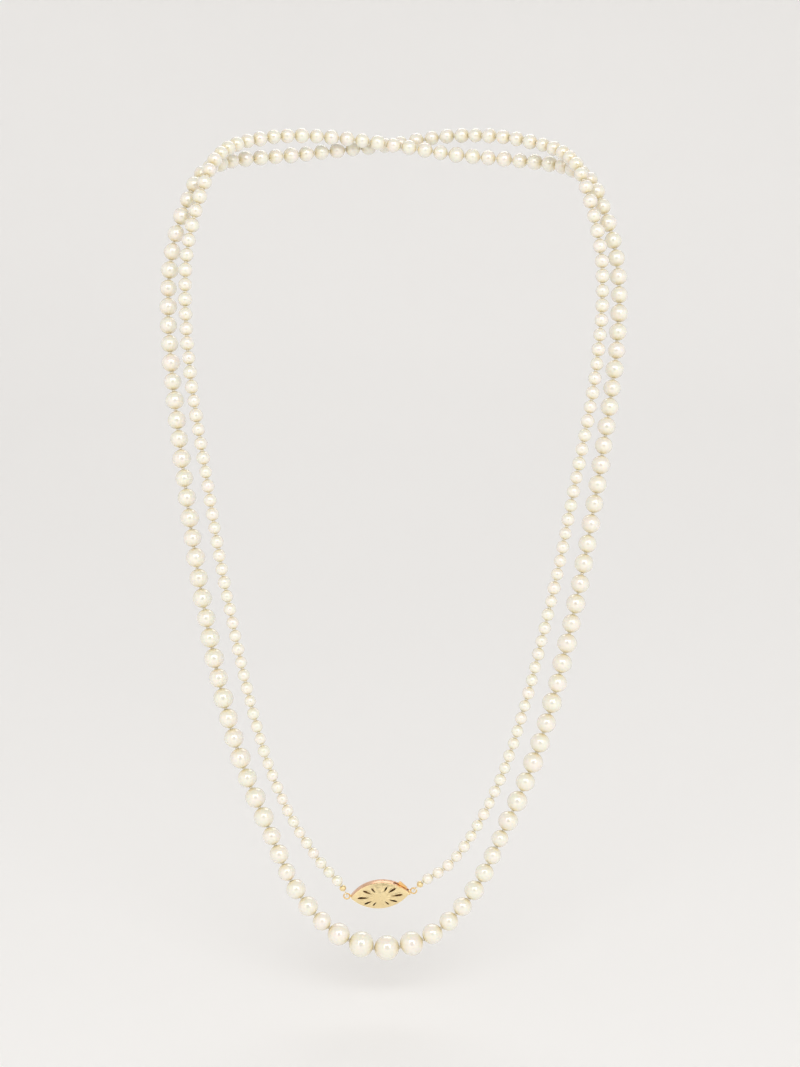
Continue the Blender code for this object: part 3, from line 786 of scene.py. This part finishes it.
class Strand:
    """Makes every run of pearls with its silk."""

    def __init__(self, stretches, nacre, silk):
        self.stretches, self.nacre, self.silk = stretches, nacre, silk
        self.bodies = run_bodies()
        self.number = 0

    def add_pearl(self, mesh, stretch, pearl, half_gap,
                  bore=SMALL_BORE, sides=PEARL_SIDES, rings=PEARL_RINGS):
        """Adds the strand's next pearl to a mesh and gives back its middle."""
        start, end, diameter = pearl
        near, far = stretch.at(start - half_gap), stretch.at(end + half_gap)
        self.number += 1
        mesh.add(near, far, end - start, diameter, bore * MM, self.number, sides, rings)
        return (near + far) / 2

    def thread(self, name, stretch, pearls):
        return swept(name, thread_stations(stretch, pearls), THREAD_SIDES, self.silk, THREAD_RIDGES)

    def run(self, name, stretch, pearls):
        body, half_gap = self.bodies[name], half_gap_of(pearls)
        mesh = Nacre()
        for pearl in pearls:
            self.add_pearl(mesh, stretch, pearl, half_gap)
        thing = mesh.build(name + "_pearls", self.nacre)
        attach(thing, body)
        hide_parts(name)
        thread = self.thread(name + "_silk", stretch, pearls)
        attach(thread, body)

    def sliding_part(self, stretch, names_and_pearls):
        """The runs between the hook and the swing knot, each pearl a piece of its own."""
        pearls = [pearl for _, group in names_and_pearls for pearl in group]
        half_gap = half_gap_of(pearls)
        top, low = stretch.at(pearls[0][0] - half_gap), stretch.at(pearls[-1][1] + half_gap)
        for name, group in names_and_pearls:
            for i, pearl in enumerate(group):
                mesh = Nacre()
                middle = self.add_pearl(mesh, stretch, pearl, half_gap)
                thing = mesh.build(f"{name}_pearl_{i + 1}", self.nacre)
                move_as_one(thing)
                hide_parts(name)
        thread = self.thread("inner_right_sliding_silk", stretch, pearls)
        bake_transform(thread)

    def centre(self):
        """The largest pearls, each free to turn on the thread."""
        stretch = self.stretches["centre"]
        pearls = pearls_on(stretch, CENTRE_DIAMETERS)
        half_gap = half_gap_of(pearls)
        for i, pearl in enumerate(pearls):
            name = f"centre_pearl_{i + 1:02d}"
            mesh = Nacre()
            self.add_pearl(mesh, stretch, pearl, half_gap, CENTRE_BORE, CENTRE_SIDES, CENTRE_RINGS)
            thing = mesh.build(name + "_nacre", self.nacre)
            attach(thing, self.bodies[name])
            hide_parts(name)
        thread = self.thread("centre_knotted_silk", stretch, pearls)
        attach(thread, self.bodies["centre_silk"])
        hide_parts("centre_silk")

    def build(self):
        self.centre()
        for side in ("left", "right"):
            self.side(side)

    def side(self, side):
        inwards = side == "right"
        distance = self.stretches["centre"].length / 2
        far_side = "right" if side == "left" else "left"
        plan = (
            (f"outer_lower_{side}", OUTER_LOWER_RUNS, f"outer_{side}_run", 1),
            (f"outer_upper_{side}", OUTER_UPPER_RUNS, f"outer_{side}_run", 1 + len(OUTER_LOWER_RUNS)),
            ("over_wrap" if side == "left" else "under_wrap", WRAP_RUNS,
             "over_wrap_run" if side == "left" else "under_wrap_run", 1),
            (f"inner_upper_{far_side}", INNER_UPPER_RUNS, f"inner_{far_side}_run",
             1 + len(INNER_LOWER_RUNS)),
            (f"inner_lower_{far_side}", INNER_LOWER_RUNS, f"inner_{far_side}_run", 1),
        )
        for kind, shares, prefix, first in plan:
            inner = prefix.startswith("inner")
            stretch = self.stretches[kind]
            pearls = pearls_on(stretch, graded_diameters(stretch, sum(shares), distance, inwards))
            backwards = inwards != inner
            begin, sliding = 0, []
            for i, share in enumerate(shares):
                group = pearls[begin:begin + share]
                name = f"{prefix}_{first + (len(shares) - 1 - i if backwards else i)}"
                if name in SLIDING_RUNS:
                    sliding.append((name, group))
                else:
                    self.run(name, stretch, group)
                begin += share
            if sliding:
                self.sliding_part(stretch, sliding)
            distance += stretch.length


# ================================================================ the clasp

def marquise(half_length, half_width, steps):
    """A pointed oval of two equal arcs, counterclockwise from its right-hand tip."""
    radius = (half_length ** 2 + half_width ** 2) / (2 * half_width)
    half_turn = math.asin(half_length / radius)
    points = []
    for side in (1, -1):
        for i in range(steps):
            angle = half_turn - 2 * half_turn * i / steps
            across = radius * math.cos(angle) - radius + half_width
            points.append((side * radius * math.sin(angle), side * across))
    return points


def make_case(place, gold):
    """The marquise box with a rounded back edge, hollow, and open at the right for the hook."""
    steps, rounding_steps = 40, 4
    outline = marquise(CASE_HALF_LENGTH, CASE_HALF_WIDTH, steps)
    count = len(outline)
    layers = []
    for i in range(rounding_steps + 1):
        angle = math.pi / 2 * i / rounding_steps
        inset = CASE_ROUNDING * (1 - math.sin(angle)) / CASE_HALF_WIDTH
        layers.append((1 - inset, CASE_ROUNDING * (1 - math.cos(angle))))
    layers.append((1.0, CASE_DEPTH))
    points = [place @ metres((u * scale, v * scale, w)) for scale, w in layers for u, v in outline]
    faces = ring_faces(len(layers), count, False)
    faces.append(tuple(range(count)))
    faces.append(tuple(reversed(range((len(layers) - 1) * count, len(layers) * count))))
    case = new_object("clasp_case_shell", points, faces, gold, smooth=False)
    face_outwards(case)
    inner_length = CASE_HALF_LENGTH - CASE_WALL * CASE_HALF_LENGTH / CASE_HALF_WIDTH
    hollow = prism("hollow", marquise(inner_length, CASE_HALF_WIDTH - CASE_WALL, steps), CASE_WALL,
                   CASE_DEPTH + 1.0, place, gold)
    low_u, low_v, low_w = MOUTH_LOW
    high_u, high_v, high_w = MOUTH_HIGH
    mouth = prism("mouth", [(low_u, low_v), (high_u, low_v), (high_u, high_v), (low_u, high_v)],
                  low_w, high_w, place, gold)
    carve(case, [hollow, mouth])
    soften(case, 0.03 * MM)
    return case


def slot_outline(turn, near, far, width):
    """A teardrop along one direction, its round end outwards."""
    along = Vector((math.cos(turn), math.sin(turn)))
    across = Vector((-along.y, along.x))
    points, steps = [], 20
    for i in range(steps):
        angle = 2 * math.pi * i / steps
        reach = 0.5 - 0.5 * math.cos(angle)
        swell = math.sin(angle) * (0.35 + 0.65 * reach)
        points.append(tuple(along * (near + (far - near) * reach) + across * width * swell))
    return points


def plate_height(u, v):
    """Height of the front plate over its rim, with the flutes and cut lines of its engraving."""
    scale = outline_share(u, v)
    height = PLATE_RISE * (1 - min(scale, 1.0) ** PLATE_DOME_POWER)
    radius, angle = math.hypot(u, v), math.atan2(v, abs(u))
    fan = smooth_step(1.15, 1.7, radius) * (1 - smooth_step(0.80, 0.86, scale))
    flutes = 0.5 + 0.5 * math.cos(angle * 2 * math.pi / FLUTE_SPACING)
    cut_lines = 0.5 + 0.5 * math.cos(angle * 2 * math.pi / CUT_LINE_SPACING)
    edge_line = math.exp(-((scale - 0.885) / 0.018) ** 2)
    boss = 1 - smooth_step(0.9, 1.2, radius)
    boss_line = math.exp(-((radius - 1.22) / 0.07) ** 2) * (1 - smooth_step(0.8, 0.9, scale))
    height -= FLUTE_DEPTH * fan * (1 - flutes)
    height -= CUT_LINE_DEPTH * fan * cut_lines
    height -= EDGE_LINE_DEPTH * edge_line
    height += BOSS_HEIGHT * boss
    height -= BOSS_LINE_DEPTH * boss_line
    return height


def smooth_step(low, high, value):
    t = min(max((value - low) / (high - low), 0.0), 1.0)
    return t * t * (3 - 2 * t)


def outline_share(u, v):
    """How far out a point lies, as the share of the marquise's size that would pass through it."""
    low, high = 0.0, 1.6
    arc = (CASE_HALF_LENGTH ** 2 + CASE_HALF_WIDTH ** 2) / (2 * CASE_HALF_WIDTH)
    for _ in range(24):
        middle = (low + high) / 2
        inside = False
        if middle > 1e-9:
            x, y = abs(u) / middle, abs(v) / middle
            inside = x <= CASE_HALF_LENGTH and math.hypot(x, y + arc - CASE_HALF_WIDTH) <= arc
        if inside:
            high = middle
        else:
            low = middle
    return high


def make_plate(place, gold):
    """The domed and pierced front plate."""
    steps, rings, under_rings = 84, 30, 8
    outline = marquise(CASE_HALF_LENGTH, CASE_HALF_WIDTH, steps)
    count = len(outline)
    points = []
    for i in range(rings):
        share = (i + 1) / rings
        for k, (u, v) in enumerate(outline):
            bead = RIM_BEADS * smooth_step(0.92, 0.97, share) * math.cos(math.pi * k)
            points.append((u * share, v * share, PLATE_RIM + plate_height(u * share, v * share) + bead))
    top_centre = len(points)
    points.append((0.0, 0.0, PLATE_RIM + plate_height(0.0, 0.0)))
    under_start = len(points)
    for i in range(under_rings):
        share = (i + 1) / under_rings
        height = PLATE_RISE * (1 - share ** PLATE_DOME_POWER)
        under_w = max(PLATE_RIM + height - PLATE_THICKNESS - FLUTE_ALLOWANCE, PLATE_BOTTOM)
        points += [(u * share * UNDERSIDE_SHARE, v * share * UNDERSIDE_SHARE, under_w) for u, v in outline]
    under_centre = len(points)
    points.append((0.0, 0.0, PLATE_RIM + PLATE_RISE - PLATE_THICKNESS))
    faces = ring_faces(rings, count, False)
    faces += [(top_centre, k, (k + 1) % count) for k in range(count)]
    for face in ring_faces(under_rings, count, False):
        faces.append(tuple(under_start + i for i in reversed(face)))
    faces += [(under_centre, under_start + (k + 1) % count, under_start + k) for k in range(count)]
    top_edge, under_edge = (rings - 1) * count, under_start + (under_rings - 1) * count
    for k in range(count):
        j = (k + 1) % count
        faces.append((top_edge + k, under_edge + k, under_edge + j, top_edge + j))
    plate = new_object("clasp_front_plate", [place @ metres(p) for p in points], faces, gold, smooth=False)
    face_outwards(plate)
    cutters = []
    for half_turn in (0, 180):
        for number, (turn, near, far, width) in enumerate(PLATE_SLOTS):
            teardrop = slot_outline(math.radians(half_turn + turn), near, far, width)
            cutters.append(prism(f"slot_{half_turn}_{number}", teardrop, *SLOT_CUT, place, gold))
    carve(plate, cutters)
    plate.data.shade_smooth()
    plate.data.set_sharp_from_angle(angle=math.radians(40.0))
    return plate


def wire_ring(name, centre, axis, radius, wire, material):
    """A round ring of round wire about an axis."""
    steps, sides = 48, 12
    first = axis.orthogonal().normalized()
    second = axis.normalized().cross(first)
    stations = []
    for i in range(steps):
        angle = 2 * math.pi * i / steps
        stations.append((centre + (first * math.cos(angle) + second * math.sin(angle)) * radius, wire))
    ring = swept(name, stations, sides, material, closed=True)
    face_outwards(ring)
    return ring


def gold_bead(name, start, end, gold):
    """A small turned gold bead with its hole."""
    half, radius, bore = (end - start).length / 2, BEAD_DIAMETER * MM / 2, BEAD_BORE * MM
    rings, sides = 18, 32
    turn = math.asin(bore / radius)
    lip, lip_z = bore * 0.9, half * math.cos(turn) - BEAD_LIP * MM
    profile = [(lip, lip_z)]
    for i in range(rings + 1):
        angle = turn + (math.pi - 2 * turn) * i / rings
        profile.append((radius * math.sin(angle), half * math.cos(angle)))
    profile.append((lip, -lip_z))
    turned = (end - start).to_track_quat("Z", "Y")
    place = Matrix.Translation((start + end) / 2) @ turned.to_matrix().to_4x4()
    points = []
    for r, z in profile:
        for k in range(sides):
            angle = 2 * math.pi * k / sides
            points.append(place @ Vector((r * math.cos(angle), r * math.sin(angle), z)))
    return new_object(name, points, ring_faces(len(profile), sides, True), gold)


def loop_of_silk(name, ring_centre, towards, out, silk):
    """The doubled thread: out of the bead, round the ring's wire and back."""
    across = towards.cross(out).normalized()
    far = towards * (RING_RADIUS + LOOP_RADIUS + LOOP_WIRE + BEAD_GAP + 0.5) * MM
    pinch = towards * (RING_RADIUS + LOOP_RADIUS + 0.05) * MM
    bottom = towards * (RING_RADIUS - LOOP_RADIUS) * MM
    middle = towards * RING_RADIUS * MM
    half = LOOP_RADIUS * 0.62 * MM
    narrow = LOOP_WIRE * MM
    control = [
        far + out * narrow, pinch + out * narrow * 1.6, middle + out * half, bottom + out * half * 0.72,
        bottom - towards * 0.1 * MM, bottom - out * half * 0.72, middle - out * half,
        pinch - out * narrow * 1.6, far - out * narrow,
    ]
    curve, _ = smooth_points([ring_centre + p + across * 0.02 * MM for p in control])
    stations = [(p, LOOP_THREAD_RADIUS * MM) for p in curve[::4]]
    return swept(name, stations, LOOP_THREAD_SIDES, silk, LOOP_THREAD_RIDGES, 2, LOOP_THREAD_TWIST)


def make_clasp(gold, case_gold_painted_reflection, pale_gold, tab_gold, silk):
    """Makes the clasp and returns where the strand starts at each of its ends, in millimetres."""
    back = next(m for m in frame["record"]["mounts"] if m["name"] == "clasp_back_face")
    place = (
        Matrix.Translation(Vector(back["pos_m"]))
        @ Matrix.Rotation(-CLASP_TILT, 4, "Y")
        @ Matrix.Rotation(math.radians(90.0), 4, "X")
    )
    out = place.to_3x3() @ Vector((0.0, 0.0, 1.0))
    case_body, hook_body, spring_body = "inner_drape_lower", "clasp_hook", "clasp_spring"

    def fit(thing, body, node_name):
        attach(thing, body)
        if node_name:
            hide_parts(node_name)

    # The case is in the rose-brown gold of painted reflection.
    fit(make_case(place, case_gold_painted_reflection), case_body, "clasp_case")
    fit(make_plate(place, pale_gold), case_body, "clasp_front_filigree")
    hook = prism("clasp_hook_strip", HOOK_OUTLINE, STRIP_LOW_W, STRIP_HIGH_W, place, gold)
    fit(soften(hook, 0.06 * MM), hook_body, "clasp_hook_shank")
    spring = prism("clasp_spring_leaf", SPRING_OUTLINE, STRIP_LOW_W, STRIP_HIGH_W, place, tab_gold)
    fit(soften(spring, 0.08 * MM, 3), spring_body, "clasp_spring_leg")
    lug = prism("clasp_eye_lug", LUG_OUTLINE, LUG_LOW_W, LUG_HIGH_W, place, gold)
    fit(soften(lug, 0.07 * MM, 3), case_body, None)

    starts = {}
    for end, ring_node, at_u, direction, body in (
        ("case_end", "clasp_eye_ring", -RING_PLACE, EYE_DIRECTION, case_body),
        ("hook_end", "clasp_hook_ring", RING_PLACE, HOOK_DIRECTION, hook_body),
    ):
        towards = Vector(direction).normalized()
        ring_centre = place @ metres((at_u, 0.0, RING_DEPTH))
        ring = wire_ring(ring_node + "_wire", ring_centre, out, RING_RADIUS * MM, RING_WIRE * MM, gold)
        fit(ring, body, ring_node)
        loop = loop_of_silk(f"silk_loop_{end}_thread", ring_centre, towards, out, silk)
        fit(loop, body, f"silk_loop_{end}")
        begin = ring_centre + towards * (RING_RADIUS + LOOP_RADIUS + LOOP_WIRE + BEAD_GAP) * MM
        finish = begin + towards * BEAD_LENGTH * MM
        bead = gold_bead(f"end_bead_{end}_gold", begin, finish, pale_gold)
        fit(bead, body, f"end_bead_{end}")
        strand_start = finish + towards * STRAND_START_GAP * MM
        starts[end] = tuple(strand_start / MM)
        tail = [
            (begin + towards * TAIL_START * MM, THREAD_RADIUS * MM), (finish, THREAD_RADIUS * MM),
            (strand_start, THREAD_RADIUS * TAIL_SWELL * MM),
            (strand_start + towards * TAIL_OVERLAP * MM, THREAD_RADIUS * MM),
        ]
        fit(swept(f"{end}_thread_tail", tail, THREAD_SIDES, silk, THREAD_RIDGES), body, None)
    return starts["case_end"], starts["hook_end"]


def main():
    camera = make_camera()
    light_room()
    make_stage()
    make_lens_shade(camera)
    nacre, silk = nacre_material(), silk_material()
    gold = gold_material("gold_polished", YELLOW_GOLD, (0.14, 0.28), 0.5)
    # Painted reflection: the case's rose-brown gold copies the darker reflections on its sides.
    case_gold_painted_reflection = gold_material("gold_case_side_painted_reflection", ROSE_BROWN_PAINTED_REFLECTION, (0.2, 0.34), 0.5)
    pale_gold = gold_material("gold_bright_cut", PALE_GOLD, (0.27, 0.4), 0.4)
    tab_gold = gold_material("gold_spring_tab", DEEP_GOLD, (0.16, 0.3), 0.5)
    case_start, hook_start = make_clasp(gold, case_gold_painted_reflection, pale_gold, tab_gold, silk)
    Strand(strand_stretches(case_start, hook_start), nacre, silk).build()


main()
view = bpy.context.scene.view_settings
view.view_transform = "Standard"
